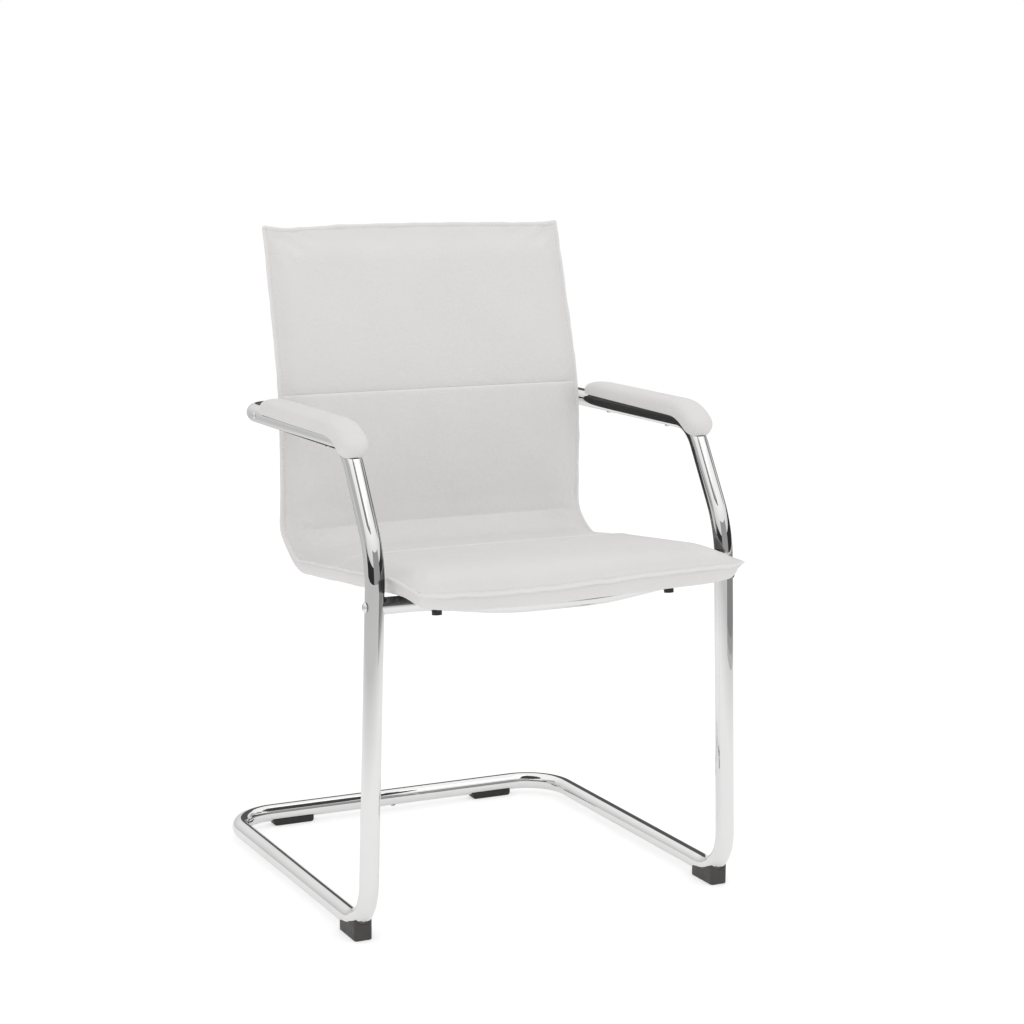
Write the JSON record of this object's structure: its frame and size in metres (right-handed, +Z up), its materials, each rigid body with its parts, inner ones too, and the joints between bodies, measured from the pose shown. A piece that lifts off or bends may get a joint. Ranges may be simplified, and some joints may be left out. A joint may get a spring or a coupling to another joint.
{
  "type": "cantilever armchair",
  "caption": "Cantilever visitor armchair: bent chrome tube frame, one-piece padded white leather seat and back shell, padded arms, dark feet.",
  "frame": {"origin": "on the floor, under the middle of the chair's outline: the plane of symmetry, and half way between the seat nose and the back of the rear floor bar", "axes": "+Z up; the sitter faces -Y, so the sitter's left is +X and the right is -X"},
  "size_m": [0.554, 0.6342, 0.8903],
  "materials": {
    "chrome": "bright polished chrome plating on bent steel tube",
    "steel": "zinc plated steel, hidden inside the joints",
    "screw": "bright plated domed screws",
    "foot_grey": "dark grey moulded plastic, satin",
    "black_plastic": "black moulded plastic, satin",
    "white_leather": "white bonded leather, fine grain, soft sheen, self-coloured stitching",
    "plywood": "moulded beech plywood, hidden",
    "foam": "open cell foam sheet, hidden"
  },
  "bodies": {
    "root": {"left_side_tube": "chrome", "right_side_tube": "chrome", "back_bow": "chrome", "seat_crossbar": "chrome", "back_spacers": "chrome", "arm_spigots": "steel", "rear_bar_spigot": "steel", "crossbar_plugs": "steel", "seat_nuts": "steel", "back_nuts": "steel", "seat_bolts": "steel", "back_bolts": "steel", "bow_screws": "screw", "rear_bar_screw": "screw", "leg_screws": "screw", "arm_pad_screws": "screw", "left_front_foot": "foot_grey", "right_front_foot": "foot_grey", "left_rear_glide": "black_plastic", "right_rear_glide": "black_plastic", "seat_bolt_caps": "black_plastic", "seat_spacers": "black_plastic", "left_arm_base": "black_plastic", "right_arm_base": "black_plastic", "seat_panel": "white_leather", "lower_back_panel": "white_leather", "upper_back_panel": "white_leather", "rear_cover": "white_leather", "edge_welt": "white_leather", "left_arm_pad": "white_leather", "right_arm_pad": "white_leather", "shell_board": "plywood", "foam_sheet": "foam"}
  },
  "joints": []
}
